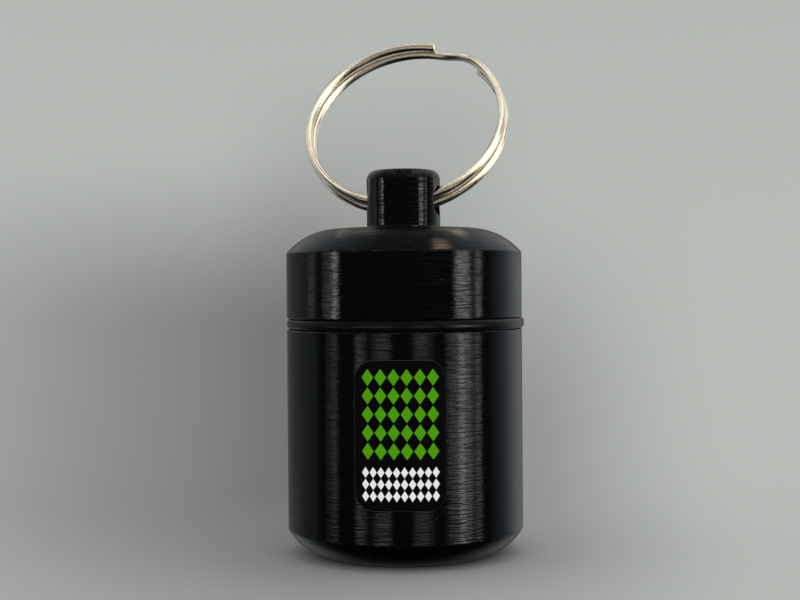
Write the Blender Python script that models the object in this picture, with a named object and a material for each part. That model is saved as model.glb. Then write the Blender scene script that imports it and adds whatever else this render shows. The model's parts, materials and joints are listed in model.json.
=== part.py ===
"""Keychain case for a pair of earplugs: a turned aluminium cup with a screw cap,
a rubber seal between the two, a split ring through the cap's lug and a printed label.

Metres, +Z up. The case stands on its base, whose centre is the origin. The cap's
axis is +Z, and the label faces -Y.
"""

import math

import bmesh
import bpy
from mathutils import Vector

# Cup, which shares its outside diameter with the cap
CASE_DIAMETER = 0.0278
BODY_HEIGHT = 0.0264
BASE_FLAT_DIAMETER = 0.0179
BASE_EDGE_HEIGHT = 0.0030
BORE_CORNER_RADIUS = 0.0015
FLOOR_THICKNESS = 0.0025
EDGE_BREAK = 0.0002

# Threaded neck above the cup's shoulder, and the low collar that centres the seal
NECK_WALL = 0.0016
NECK_HEIGHT = 0.0072
NECK_CHAMFER = 0.0004
COLLAR_HEIGHT = 0.0010

# Seal
SEAL_WIDTH = 0.0013
SEAL_HEIGHT = 0.0011
SEAL_BULGE = 0.0002
SEAL_CLEARANCE = 0.0001

# Cap
CAP_WALL = 0.00175
CAP_SHOULDER_RUN = 0.0060
CAP_SHOULDER_RISE = 0.00285
CAP_ROOF_THICKNESS = 0.0033
NECK_TOP_CLEARANCE = 0.0013
THREAD_CLEARANCE = 0.0003

# Lug on the cap, cross-drilled for the split ring
LUG_DIAMETER = 0.0087
LUG_EDGE_RADIUS = 0.00115
LUG_FOOT_RADIUS = 0.0004
HOLE_FOOT = 0.00155
HOLE_CROWN = 0.00186
HOLE_DIRECTION = math.radians(-13.8)

# Split ring: two coils of rounded wire, a little off one centre, with a jog that leads from one to the other
RING_DIAMETER = 0.0250
WIRE_WIDTH = 0.00092
WIRE_THICKNESS = 0.00108
COIL_GAP = 0.00006
COIL_SIDESTEP = -0.00027
COIL_LIFT = 0.00032
RING_PLAY = 0.00021
RING_DROP = 0.00067
RING_LEAN = math.radians(32.2)
RING_SKEW = math.radians(-5.1)
FRONT_END_ANGLE = math.radians(78.0)
BACK_END_ANGLE = math.radians(48.0)
JOG_START_ANGLE = math.radians(50.0)
JOG_ANGLE = math.radians(27.0)
WIRE_SQUARENESS = 2.3

# Label, bent round the cup
LABEL_WIDTH = 0.0103
LABEL_HEIGHT = 0.0165
LABEL_CORNER_RADIUS = 0.0022
LABEL_THICKNESS = 0.00012
LABEL_CLEARANCE = 0.00005
LABEL_MIDDLE_HEIGHT = 0.0151
LABEL_DIRECTION = math.radians(-2.3)

# Fineness of the facets
TURNED_STEPS = 72
ARC_STEPS = 7
SMALL_ARC_STEPS = 4
HOLE_STEPS = 32
COIL_STEPS = 72
WIRE_STEPS = 10
LABEL_STEPS = 16
LABEL_CORNER_STEPS = 4
SHARP_EDGE = math.radians(35.0)

# Sizes that follow from the ones above
CAP_BORE_DIAMETER = CASE_DIAMETER - 2.0 * CAP_WALL
NECK_DIAMETER = CAP_BORE_DIAMETER - 2.0 * THREAD_CLEARANCE
BORE_DIAMETER = NECK_DIAMETER - 2.0 * NECK_WALL
SEAL_INSIDE_DIAMETER = CASE_DIAMETER + 2.0 * (SEAL_BULGE - SEAL_WIDTH)
COLLAR_DIAMETER = SEAL_INSIDE_DIAMETER - 2.0 * SEAL_CLEARANCE
SEAL_SPACE = SEAL_HEIGHT + 2.0 * SEAL_CLEARANCE
RIM_HEIGHT = BODY_HEIGHT + SEAL_SPACE
NECK_TOP = BODY_HEIGHT + NECK_HEIGHT
CAP_CEILING = NECK_TOP + NECK_TOP_CLEARANCE
CAP_TOP = CAP_CEILING + CAP_ROOF_THICKNESS
CAP_CREASE = CAP_TOP - CAP_SHOULDER_RISE
COIL_PITCH = WIRE_THICKNESS + COIL_GAP
WIRE_RADIUS = (RING_DIAMETER - WIRE_WIDTH) / 2.0
RING_REACH = WIRE_RADIUS - RING_DROP


def arc_points(centre, radius, start, end, steps):
    """Points on an arc in the profile plane, from the start angle to the end angle."""
    angles = [start + (end - start) * i / steps for i in range(steps + 1)]
    return [
        (centre[0] + radius * math.cos(a), centre[1] + radius * math.sin(a))
        for a in angles
    ]


def dome_points(flat_radius, edge_radius, flat_height, edge_height, steps):
    """A turned rounding that leaves a flat face smoothly and meets the side at a crease."""
    run = edge_radius - flat_radius
    rise = edge_height - flat_height
    radius = (run * run + rise * rise) / (2.0 * abs(rise))
    sweep = math.atan2(run, radius - abs(rise))
    up = math.copysign(1.0, rise)
    centre_height = flat_height + up * radius
    angles = [sweep * i / steps for i in range(steps + 1)]
    return [
        (flat_radius + radius * math.sin(a), centre_height - up * radius * math.cos(a))
        for a in angles
    ]


def wire_outline():
    """Half extents of the rounded wire round its section: across the ring and along its axis."""
    power = 2.0 / WIRE_SQUARENESS
    outline = []
    for i in range(WIRE_STEPS):
        angle = 2.0 * math.pi * (i + 0.5) / WIRE_STEPS
        across, along = math.cos(angle), math.sin(angle)
        outline.append((
            math.copysign(abs(across) ** power, across) * WIRE_WIDTH / 2.0,
            math.copysign(abs(along) ** power, along) * WIRE_THICKNESS / 2.0,
        ))
    return outline


def coil_share(angle):
    """Where the wire lies at an angle along its turns: a half on the front coil, minus a half on the back."""
    jog_start = JOG_START_ANGLE + 2.0 * math.pi
    share = min(max((angle - jog_start) / JOG_ANGLE, 0.0), 1.0)
    eased = share * share * (3.0 - 2.0 * share)
    return 0.5 - eased


def wire_rings():
    """The wire's cross-sections, in the frame whose X is the lug hole and whose origin is its middle."""
    start = FRONT_END_ANGLE
    end = BACK_END_ANGLE + 4.0 * math.pi
    steps = round(COIL_STEPS * (end - start) / (2.0 * math.pi))
    middle_x = RING_REACH * math.sin(RING_SKEW)
    middle_z = RING_REACH * math.cos(RING_SKEW)
    rings = []
    for i in range(steps + 1):
        angle = start + (end - start) * i / steps
        share = coil_share(angle)
        rings.append([
            (
                middle_x + share * COIL_SIDESTEP + (WIRE_RADIUS + across) * math.cos(angle),
                -share * COIL_PITCH - along,
                middle_z + share * COIL_LIFT + (WIRE_RADIUS + across) * math.sin(angle),
            )
            for across, along in wire_outline()
        ])
    return rings


def wire_reach():
    """The furthest that the wire inside the lug lies from the middle line of the hole."""
    inside = [
        math.hypot(y, z)
        for ring in wire_rings()
        for x, y, z in ring
        if abs(x) < LUG_DIAMETER / 2.0 and z < RING_REACH
    ]
    return max(inside)


HOLE_RADIUS = wire_reach() + RING_PLAY
HOLE_HEIGHT = CAP_TOP + HOLE_FOOT + HOLE_RADIUS
LUG_TOP = HOLE_HEIGHT + HOLE_RADIUS + HOLE_CROWN


def clear_scene():
    """Removes the objects that the file opened with."""
    for thing in list(bpy.data.objects):
        bpy.data.objects.remove(thing, do_unlink=True)


def make_material(name, colour, metallic, roughness):
    """A plain Principled material for one piece."""
    material = bpy.data.materials.new(name)
    material.use_nodes = True
    shader = material.node_tree.nodes["Principled BSDF"]
    shader.inputs["Base Color"].default_value = (*colour, 1.0)
    shader.inputs["Metallic"].default_value = metallic
    shader.inputs["Roughness"].default_value = roughness
    return material


def make_object(name, shape, material, smooth):
    """Turns a bmesh into a named object, with its round faces shaded smooth."""
    mesh = bpy.data.meshes.new(name)
    bmesh.ops.recalc_face_normals(shape, faces=shape.faces)
    shape.to_mesh(mesh)
    shape.free()
    if smooth:
        mesh.shade_smooth()
        mesh.set_sharp_from_angle(angle=SHARP_EDGE)
    mesh.materials.append(material)
    thing = bpy.data.objects.new(name, mesh)
    bpy.context.scene.collection.objects.link(thing)
    return thing


def make_pivot(name, location, turn, parent):
    """An empty on a joint's axis, which carries the piece that moves there."""
    pivot = bpy.data.objects.new(name, None)
    pivot.location = location
    pivot.rotation_euler = (0.0, 0.0, turn)
    pivot.parent = parent
    bpy.context.scene.collection.objects.link(pivot)
    return pivot


def turn_profile(profile, closed):
    """Spins a profile of (radius, height) points once round the Z axis."""
    shape = bmesh.new()
    points = [shape.verts.new((radius, 0.0, height)) for radius, height in profile]
    pairs = list(zip(points, points[1:]))
    if closed:
        pairs.append((points[-1], points[0]))
    edges = [shape.edges.new(pair) for pair in pairs]
    bmesh.ops.spin(
        shape,
        geom=points + edges,
        cent=(0.0, 0.0, 0.0),
        axis=(0.0, 0.0, 1.0),
        angle=2.0 * math.pi,
        steps=TURNED_STEPS,
        use_merge=True,
    )
    bmesh.ops.remove_doubles(shape, verts=shape.verts, dist=1e-7)
    return shape


def cup_profile():
    """Outline of the cup and its neck, from the middle of the base to the middle of the floor."""
    edge = CASE_DIAMETER / 2.0
    collar = COLLAR_DIAMETER / 2.0
    neck = NECK_DIAMETER / 2.0
    bore = BORE_DIAMETER / 2.0
    outside = [(0.0, 0.0)]
    outside += dome_points(BASE_FLAT_DIAMETER / 2.0, edge, 0.0, BASE_EDGE_HEIGHT, ARC_STEPS)
    outside += [(edge, BODY_HEIGHT - EDGE_BREAK), (edge - EDGE_BREAK, BODY_HEIGHT)]
    neck_side = [
        (collar, BODY_HEIGHT),
        (collar, BODY_HEIGHT + COLLAR_HEIGHT),
        (neck, BODY_HEIGHT + COLLAR_HEIGHT),
        (neck, NECK_TOP - NECK_CHAMFER),
        (neck - NECK_CHAMFER, NECK_TOP),
        (bore + EDGE_BREAK, NECK_TOP),
        (bore, NECK_TOP - EDGE_BREAK),
    ]
    corner = arc_points(
        (bore - BORE_CORNER_RADIUS, FLOOR_THICKNESS + BORE_CORNER_RADIUS),
        BORE_CORNER_RADIUS,
        0.0,
        -math.pi / 2.0,
        SMALL_ARC_STEPS,
    )
    return outside + neck_side + corner + [(0.0, FLOOR_THICKNESS)]


def make_cup(material):
    """The cup with its threaded neck, one turned piece."""
    return make_object("case_body", turn_profile(cup_profile(), closed=False), material, True)


def make_seal(material):
    """The seal, a rounded ring that lies on the shoulder round the collar."""
    middle = (SEAL_INSIDE_DIAMETER + SEAL_WIDTH) / 2.0
    section = [
        (
            middle + SEAL_WIDTH / 2.0 * math.cos(2.0 * math.pi * i / WIRE_STEPS),
            SEAL_HEIGHT / 2.0 * math.sin(2.0 * math.pi * i / WIRE_STEPS),
        )
        for i in range(WIRE_STEPS)
    ]
    seal = make_object("o_ring", turn_profile(section, closed=True), material, True)
    seal.location = (0.0, 0.0, BODY_HEIGHT + SEAL_SPACE / 2.0)
    return seal


def cap_profile():
    """Outline of the cap with its lug, from the lug's top to the middle of the ceiling, above the rim."""
    edge = CASE_DIAMETER / 2.0
    lug = LUG_DIAMETER / 2.0
    bore = CAP_BORE_DIAMETER / 2.0
    lug_top = LUG_TOP - RIM_HEIGHT
    cap_top = CAP_TOP - RIM_HEIGHT
    crease = CAP_CREASE - RIM_HEIGHT
    ceiling = CAP_CEILING - RIM_HEIGHT
    lug_edge = arc_points(
        (lug - LUG_EDGE_RADIUS, lug_top - LUG_EDGE_RADIUS),
        LUG_EDGE_RADIUS,
        math.pi / 2.0,
        0.0,
        ARC_STEPS,
    )
    lug_foot = arc_points(
        (lug + LUG_FOOT_RADIUS, cap_top + LUG_FOOT_RADIUS),
        LUG_FOOT_RADIUS,
        math.pi,
        1.5 * math.pi,
        SMALL_ARC_STEPS,
    )
    shoulder = dome_points(edge - CAP_SHOULDER_RUN, edge, cap_top, crease, ARC_STEPS)
    skirt = [
        (edge, EDGE_BREAK),
        (edge - EDGE_BREAK, 0.0),
        (bore + NECK_CHAMFER, 0.0),
        (bore, NECK_CHAMFER),
        (bore, ceiling),
        (0.0, ceiling),
    ]
    return [(0.0, lug_top)] + lug_edge + lug_foot + shoulder + skirt


def make_hole_cutter(cap):
    """A round bar along the hole, longer than the lug is wide, that cuts the cap."""
    shape = bmesh.new()
    bmesh.ops.create_cone(
        shape,
        cap_ends=True,
        segments=HOLE_STEPS,
        radius1=HOLE_RADIUS,
        radius2=HOLE_RADIUS,
        depth=2.0 * LUG_DIAMETER,
    )
    mesh = bpy.data.meshes.new("lug_hole_cutter")
    shape.to_mesh(mesh)
    shape.free()
    cutter = bpy.data.objects.new("lug_hole_cutter", mesh)
    bpy.context.scene.collection.objects.link(cutter)
    cutter.parent = cap
    cutter.location = (0.0, 0.0, HOLE_HEIGHT - RIM_HEIGHT)
    cutter.rotation_euler = (0.0, math.pi / 2.0, HOLE_DIRECTION)
    cutter.hide_render = True
    cutter.display_type = "WIRE"
    return cutter


def make_cap(material, pivot):
    """The cap with its lug, one turned piece, cross-drilled for the split ring."""
    cap = make_object("cap", turn_profile(cap_profile(), closed=False), material, True)
    cap.parent = pivot
    hole = cap.modifiers.new("lug_hole", "BOOLEAN")
    hole.operation = "DIFFERENCE"
    hole.object = make_hole_cutter(cap)
    return cap


def make_split_ring(material, pivot):
    """The split ring, one unbroken wire from its front end to its back end."""
    shape = bmesh.new()
    rings = [[shape.verts.new(point) for point in ring] for ring in wire_rings()]
    for near, far in zip(rings, rings[1:]):
        for i in range(WIRE_STEPS):
            after = (i + 1) % WIRE_STEPS
            shape.faces.new((near[i], near[after], far[after], far[i]))
    shape.faces.new(rings[0])
    shape.faces.new(rings[-1])
    ring = make_object("split_ring", shape, material, True)
    ring.parent = pivot
    ring.rotation_euler = (-RING_LEAN, 0.0, 0.0)
    return ring


def label_columns():
    """Places across the label and the label's half height there, with rounded corners."""
    half = LABEL_WIDTH / 2.0
    straight = half - LABEL_CORNER_RADIUS
    corner = arc_points(
        (straight, LABEL_HEIGHT / 2.0 - LABEL_CORNER_RADIUS),
        LABEL_CORNER_RADIUS,
        math.pi / 2.0,
        0.0,
        LABEL_CORNER_STEPS,
    )
    middle = [
        (straight * (2.0 * i / LABEL_STEPS - 1.0), LABEL_HEIGHT / 2.0)
        for i in range(1, LABEL_STEPS)
    ]
    left = [(-across, height) for across, height in reversed(corner)]
    return left + middle + corner


def make_label(material):
    """The label, a thin sheet that follows the cup's side."""
    shape = bmesh.new()
    inner = CASE_DIAMETER / 2.0 + LABEL_CLEARANCE
    outer = inner + LABEL_THICKNESS
    columns = []
    for across, half_height in label_columns():
        angle = LABEL_DIRECTION + across / outer
        sideways = Vector((math.sin(angle), -math.cos(angle), 0.0))
        corners = [(inner, -half_height), (inner, half_height), (outer, half_height), (outer, -half_height)]
        columns.append([
            shape.verts.new(radius * sideways + Vector((0.0, 0.0, height)))
            for radius, height in corners
        ])
    for near, far in zip(columns, columns[1:]):
        for i in range(4):
            after = (i + 1) % 4
            shape.faces.new((near[i], near[after], far[after], far[i]))
    shape.faces.new(columns[0])
    shape.faces.new(columns[-1])
    label = make_object("label", shape, material, True)
    label.location = (0.0, 0.0, LABEL_MIDDLE_HEIGHT)
    return label


def build():
    """Makes the five pieces, and hangs those that move on the axes that they move about."""
    clear_scene()
    anodised = make_material("black_anodised_aluminium", (0.012, 0.012, 0.013), 0.9, 0.28)
    capped = make_material("black_anodised_cap", (0.012, 0.012, 0.013), 0.9, 0.26)
    rubber = make_material("black_rubber", (0.015, 0.015, 0.016), 0.0, 0.55)
    nickel = make_material("nickel_plated_steel", (0.62, 0.58, 0.50), 1.0, 0.16)
    print_face = make_material("printed_vinyl", (0.02, 0.02, 0.02), 0.0, 0.45)
    make_cup(anodised)
    make_label(print_face)
    make_seal(rubber)
    thread_axis = make_pivot("thread_axis", (0.0, 0.0, RIM_HEIGHT), 0.0, None)
    cap = make_cap(capped, thread_axis)
    hole_axis = make_pivot("hole_axis", (0.0, 0.0, HOLE_HEIGHT - RIM_HEIGHT), HOLE_DIRECTION, cap)
    make_split_ring(nickel, hole_axis)


build()
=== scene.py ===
# %% [markdown]
# # A turned keychain case for earplugs
#
# The case is a cup and a screw cap, both turned from black anodised aluminium, with a rubber seal
# between them, a steel split ring through the cap's lug and a printed label. The solids already give
# the right sizes and joints. This lesson dresses them: each piece is worked out again with numpy as a
# finer surface, and gets a finish.

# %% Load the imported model
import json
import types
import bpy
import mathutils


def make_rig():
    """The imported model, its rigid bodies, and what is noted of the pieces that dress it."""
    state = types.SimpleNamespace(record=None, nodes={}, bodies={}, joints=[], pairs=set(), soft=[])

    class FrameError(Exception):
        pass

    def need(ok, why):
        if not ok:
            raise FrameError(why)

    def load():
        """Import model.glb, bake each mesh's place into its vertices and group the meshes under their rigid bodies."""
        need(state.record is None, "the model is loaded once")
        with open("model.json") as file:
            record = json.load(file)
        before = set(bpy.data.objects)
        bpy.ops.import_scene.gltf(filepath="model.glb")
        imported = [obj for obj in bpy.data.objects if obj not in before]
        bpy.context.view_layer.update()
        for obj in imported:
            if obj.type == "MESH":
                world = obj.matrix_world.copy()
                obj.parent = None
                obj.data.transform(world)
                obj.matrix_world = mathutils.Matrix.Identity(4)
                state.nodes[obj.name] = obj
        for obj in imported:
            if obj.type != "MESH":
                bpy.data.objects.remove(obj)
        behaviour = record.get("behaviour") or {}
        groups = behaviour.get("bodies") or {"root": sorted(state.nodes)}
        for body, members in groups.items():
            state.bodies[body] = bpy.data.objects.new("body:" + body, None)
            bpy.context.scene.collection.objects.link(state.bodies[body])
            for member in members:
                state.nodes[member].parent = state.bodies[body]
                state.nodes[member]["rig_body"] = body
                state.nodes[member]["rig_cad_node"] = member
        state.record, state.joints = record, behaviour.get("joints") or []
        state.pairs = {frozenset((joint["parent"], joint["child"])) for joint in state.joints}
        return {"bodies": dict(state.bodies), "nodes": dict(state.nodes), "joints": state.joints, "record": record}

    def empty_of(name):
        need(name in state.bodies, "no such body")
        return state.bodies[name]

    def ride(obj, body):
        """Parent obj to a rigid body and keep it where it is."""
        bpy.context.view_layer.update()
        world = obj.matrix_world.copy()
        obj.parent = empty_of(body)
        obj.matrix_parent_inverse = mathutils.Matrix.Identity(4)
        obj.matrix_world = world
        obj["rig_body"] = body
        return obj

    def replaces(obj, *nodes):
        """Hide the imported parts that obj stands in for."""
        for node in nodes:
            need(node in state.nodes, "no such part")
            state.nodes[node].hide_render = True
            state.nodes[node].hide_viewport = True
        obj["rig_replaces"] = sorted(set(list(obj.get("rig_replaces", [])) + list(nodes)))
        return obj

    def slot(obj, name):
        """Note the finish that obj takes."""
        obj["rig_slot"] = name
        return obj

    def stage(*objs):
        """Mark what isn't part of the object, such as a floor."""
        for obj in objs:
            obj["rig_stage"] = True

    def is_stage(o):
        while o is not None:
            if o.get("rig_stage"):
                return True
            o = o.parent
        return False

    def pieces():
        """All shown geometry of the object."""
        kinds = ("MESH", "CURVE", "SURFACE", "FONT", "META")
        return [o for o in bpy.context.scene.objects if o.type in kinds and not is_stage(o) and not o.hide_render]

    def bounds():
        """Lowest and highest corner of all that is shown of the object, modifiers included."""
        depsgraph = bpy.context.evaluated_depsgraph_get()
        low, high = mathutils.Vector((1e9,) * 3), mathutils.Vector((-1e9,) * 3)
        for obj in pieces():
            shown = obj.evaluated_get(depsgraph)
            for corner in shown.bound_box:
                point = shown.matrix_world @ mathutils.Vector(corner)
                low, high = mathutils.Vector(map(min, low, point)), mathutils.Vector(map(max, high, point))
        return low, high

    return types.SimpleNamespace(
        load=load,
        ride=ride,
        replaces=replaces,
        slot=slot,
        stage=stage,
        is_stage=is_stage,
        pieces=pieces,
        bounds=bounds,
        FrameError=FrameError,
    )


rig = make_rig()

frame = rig.load()
cad_box = [list(corner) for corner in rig.bounds()]

import functools
import json
import math

import bpy
import numpy as np
from mathutils import Matrix

scene = bpy.context.scene
MM = 0.001
FULL_TURN = 2.0 * math.pi
print("nodes:", ", ".join(frame["nodes"]), "| bodies:", ", ".join(frame["bodies"]))

# %% [markdown]
# ## How a turned piece is described
#
# A lathe cuts one outline all the way round, so an outline is all that a turned piece needs. It is
# written as corners, each with its radius from the axis, its height and its rounding. Real metal has
# no perfectly sharp edge, and the small roundings catch the light. A Bevel modifier could round them
# too, but arcs in the outline keep every edge at its own size.

# %% Outlines with rounded corners
LONGEST_ROW = 1.5 * MM
HEM = 0.05 * MM
DOME_STEPS = 28


def arc(centre, radius, start, end, steps):
    """The points centre + radius * (cos a, sin a), for even steps of the angle a in degrees."""
    angle = np.radians(np.linspace(start, end, steps + 1))
    return np.column_stack([centre[0] + radius * np.cos(angle), centre[1] + radius * np.sin(angle)])


def dome(flat_radius, edge_radius, rise):
    """An arc that leaves a flat face smoothly: for a run and a rise its radius is (run^2 + rise^2) / (2
    rise). It returns distances from the axis and depths below the flat face."""
    run = edge_radius - flat_radius
    radius = (run * run + rise * rise) / (2.0 * rise)
    sweep = math.degrees(math.atan2(run, radius - rise))
    curve = arc((flat_radius, -radius), radius, 90.0, 90.0 - sweep, DOME_STEPS)
    return curve[:, 0], -curve[:, 1]


def soften(corners, steps=8):
    """Turns corners (radius, height, rounding) into a path. A rounding r starts r / tan(h) along each
    leg, where h is half the angle between the legs, and its arc is the blend of its two end spokes by
    sines. The second result is the edge mask: a sine hump over each outer rounding, and 0 elsewhere."""
    corners = np.array([corner if len(corner) == 3 else (*corner, 0.0) for corner in corners])
    path, edge = [corners[:1, :2]], [np.zeros(1)]
    for before, here, after in zip(corners, corners[1:], corners[2:]):
        back, forth = before[:2] - here[:2], after[:2] - here[:2]
        back, forth = back / np.linalg.norm(back), forth / np.linalg.norm(forth)
        half = math.acos(np.clip(back @ forth, -1.0, 1.0)) / 2.0
        if here[2] == 0.0:
            path.append(here[None, :2])
            edge.append(np.zeros(1))
            continue
        bisector = (back + forth) / np.linalg.norm(back + forth)
        centre = here[:2] + bisector * here[2] / math.sin(half)
        reach = here[2] / math.tan(half)
        first, last = here[:2] + back * reach - centre, here[:2] + forth * reach - centre
        sweep = math.pi - 2.0 * half
        share = np.linspace(0.0, 1.0, steps + 1)[:, None]
        spokes = np.sin((1.0 - share) * sweep) * first + np.sin(share * sweep) * last
        outer = back[1] * forth[0] - back[0] * forth[1] > 0.0
        path.append(centre + spokes / math.sin(sweep))
        edge.append(np.sin(share[:, 0] * math.pi) * outer)
    path.append(corners[-1:, :2])
    edge.append(np.zeros(1))
    return np.vstack(path), np.concatenate(edge)


def add_rows(path, edge, screw=None):
    """Adds rows to the straight legs: one a hem away from each end, so that the shading of a rounding
    stays off the leg, and even ones between. A screw (radius, lowest, highest, step) gets dense rows,
    for its thread."""
    rows, masks = [path[:1]], [edge[:1]]
    for start, end, mask in zip(path, path[1:], edge[1:]):
        length = np.linalg.norm(end - start)
        inner = np.empty(0)
        threaded = screw and abs(start[0] - screw[0]) + abs(end[0] - screw[0]) < HEM and length > MM
        if threaded:
            heights = np.arange(screw[1], screw[2], screw[3])
            inner = np.sort((heights - start[1]) / (end[1] - start[1]))
        elif length > 6.0 * HEM:
            count = max(int(length / LONGEST_ROW), 1)
            inner = np.linspace(HEM / length, 1.0 - HEM / length, count + 1)
        rows += [start + (end - start) * inner[:, None], end[None]]
        masks += [np.zeros(len(inner)), [mask]]
    return np.vstack(rows), np.concatenate(masks)


print("a right angle rounded by 1 mm has", len(soften([(0, 0), (2, 0, 1), (2, 2)])[0]), "points")

# %% [markdown]
# ## From outlines to closed meshes
#
# A surface on a grid has one row for each point of its outline and one column for each step round the
# axis. Blender could spin the outline itself, but with numpy the whole piece is one array, so a screw
# thread or a cross-drilled hole can still bend it. Patches meet by having equal points on their
# borders, and a weld makes one point of them.

# %% Grids, weld and piece
TURN_STEPS = 256
GRAIN, GRAIN_SHIFT = 1e-7, 0.37
round_angle = FULL_TURN * np.arange(TURN_STEPS) / TURN_STEPS
round_cos, round_sin = np.cos(round_angle), np.sin(round_angle)


def turn(path, relief=0.0):
    """A surface of revolution: the point (r, z) of the path becomes (r cos a, r sin a, z) for each
    angle a. A relief, one value for each row and angle, is added to r."""
    radius = path[:, :1] + relief + np.zeros(TURN_STEPS)
    height = np.broadcast_to(path[:, 1:], radius.shape)
    return np.stack([radius * round_cos, radius * round_sin, height], -1)


def grid_quads(rows, columns):
    """Corner numbers of the cells of a grid that closes round the axis, anticlockwise from outside
    where the rows run up."""
    number = np.arange(rows * columns).reshape(rows, columns)
    number = np.hstack([number, number[:, :1]])
    cells = [number[:-1, :-1], number[:-1, 1:], number[1:, 1:], number[1:, :-1]]
    return np.stack(cells, -1).reshape(-1, 4)


def weld(patches):
    """Joins patches, each a grid of points with a grid of edge masks, into one list of points. Points
    closer than a grain become one, with a shift that keeps round numbers off the borders between
    grains, and a cell with two corners in one point becomes a triangle."""
    grids = [grid for grid, _ in patches]
    points = np.vstack([grid.reshape(-1, 3) for grid in grids])
    masks = np.concatenate([np.broadcast_to(mask, grid.shape[:2]).ravel() for grid, mask in patches])
    starts = np.cumsum([0] + [grid.shape[0] * grid.shape[1] for grid in grids])
    quads = np.vstack([grid_quads(*grid.shape[:2]) + start for grid, start in zip(grids, starts)])
    keys = np.floor(points / GRAIN + GRAIN_SHIFT).astype(np.int64)
    _, kept, place = np.unique(keys, axis=0, return_index=True, return_inverse=True)
    quads = place.ravel()[quads]
    same = quads == np.roll(quads, -1, axis=1)
    whole = quads[same.sum(axis=1) == 0]
    folded, gap = quads[same.sum(axis=1) == 1], same[same.sum(axis=1) == 1]
    triangles = folded[~gap].reshape(-1, 3)
    return points[kept], masks[kept], whole, triangles


def solid_facts(points, quads, triangles):
    """Volume by adding up a * (b x c) / 6 over the triangles a, b, c, and whether each edge is used
    once each way."""
    flat = np.vstack([quads[:, [0, 1, 2]], quads[:, [0, 2, 3]], triangles])
    a, b, c = (points[flat[:, i]] for i in range(3))
    volume = np.einsum("ij,ij->", a, np.cross(b, c)) / 6.0
    ends = np.vstack([flat[:, [0, 1]], flat[:, [1, 2]], flat[:, [2, 0]]])
    there = ends[:, 0] * len(points) + ends[:, 1]
    back = ends[:, 1] * len(points) + ends[:, 0]
    closed = len(np.unique(there)) == len(there) and np.array_equal(np.sort(there), np.sort(back))
    return volume, closed, len(flat)


def smooth_object(name, points, quads, triangles):
    """Makes a smooth object at the origin from points and the corner numbers of its faces."""
    mesh = bpy.data.meshes.new(name)
    mesh.from_pydata(points.tolist(), [], quads.tolist() + triangles.tolist())
    mesh.shade_smooth()
    thing = bpy.data.objects.new(name, mesh)
    scene.collection.objects.link(thing)
    return thing


def make_piece(name, patches, body, node, slot):
    """Makes a closed piece with its edge mask as an attribute, and puts it for its node."""
    points, masks, quads, triangles = weld(patches)
    volume, closed, count = solid_facts(points, quads, triangles)
    if volume < 0.0:
        quads, triangles = quads[:, ::-1], triangles[:, ::-1]
    piece = smooth_object(name, points, quads, triangles)
    edge = piece.data.attributes.new("edge", "FLOAT", "POINT")
    edge.data.foreach_set("value", masks.astype(np.float32))
    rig.ride(piece, body)
    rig.replaces(piece, node)
    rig.slot(piece, slot)
    print(f"{name}: {count} triangles, {abs(volume) * 1e9:.1f} mm3, closed: {closed}")
    return piece


# %% [markdown]
# ## The screw thread
#
# Neck and cap carry a single-start thread with a pitch of 1.5 mm, which shows when the cap is off. A
# thread is a ridge whose height rises by one pitch in each turn, so it depends only on height / pitch -
# angle / turn. With that sign the ridge climbs anticlockwise, as a right-hand thread does, and the
# cap's rise and turn slide along it.

# %% Thread as a relief
PITCH = 1.5 * MM
THREAD_STEP = 0.075 * MM
THREAD_FADE = 0.7 * MM
STEEPNESS = 1.7


def fade(path, radius, lowest, highest):
    """1 where a path runs along a screw, falling to 0 at both of its ends."""
    height = path[:, 1:]
    ends = np.clip(np.minimum(height - lowest, highest - height) / THREAD_FADE, 0.0, 1.0)
    return ends * (np.abs(path[:, :1] - radius) < HEM)


def thread(path, radius, lowest, highest):
    """Depth from 0 on the crest to 1 in the root, for each row and angle: the distance of height /
    pitch - angle / turn from the nearest whole number, with a steep middle. It fades in."""
    phase = (path[:, 1:] / PITCH - round_angle / FULL_TURN) % 1.0
    flank = np.abs(2.0 * phase - 1.0) * STEEPNESS - (STEEPNESS - 1.0) / 2.0
    flank = np.clip(flank, 0.0, 1.0)
    return flank * flank * (3.0 - 2.0 * flank) * fade(path, radius, lowest, highest)


# %% [markdown]
# ## The cup
#
# The cup stands on a flat that rounds up into the side over 3 mm, with a soft crease where the rounding
# ends. Its shoulder carries the seal and a low collar that centres it, and the neck above has the outer
# thread. The blind bore holds the plugs. The outline starts in the middle of the base and ends in the
# middle of the floor.

# %% Cup
CASE_RADIUS = 13.9 * MM
BASE_FLAT_RADIUS, BASE_RISE = 8.95 * MM, 3.0 * MM
SHOULDER, RIM = 26.4 * MM, 27.7 * MM
COLLAR_RADIUS, COLLAR_TOP = 12.7 * MM, 27.4 * MM
NECK_RADIUS, NECK_TOP, NECK_CHAMFER = 11.8 * MM, 33.6 * MM, 0.4 * MM
NECK_THREAD = (28.1 * MM, 33.2 * MM)
THREAD_DEPTH = 0.5 * MM
CAVITY_RADIUS, CAVITY_CORNER, FLOOR = 10.25 * MM, 1.5 * MM, 2.5 * MM
SHARP, BROKEN, OUTER_BREAK, SOFT = 0.05 * MM, 0.1 * MM, 0.17 * MM, 0.3 * MM

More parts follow.
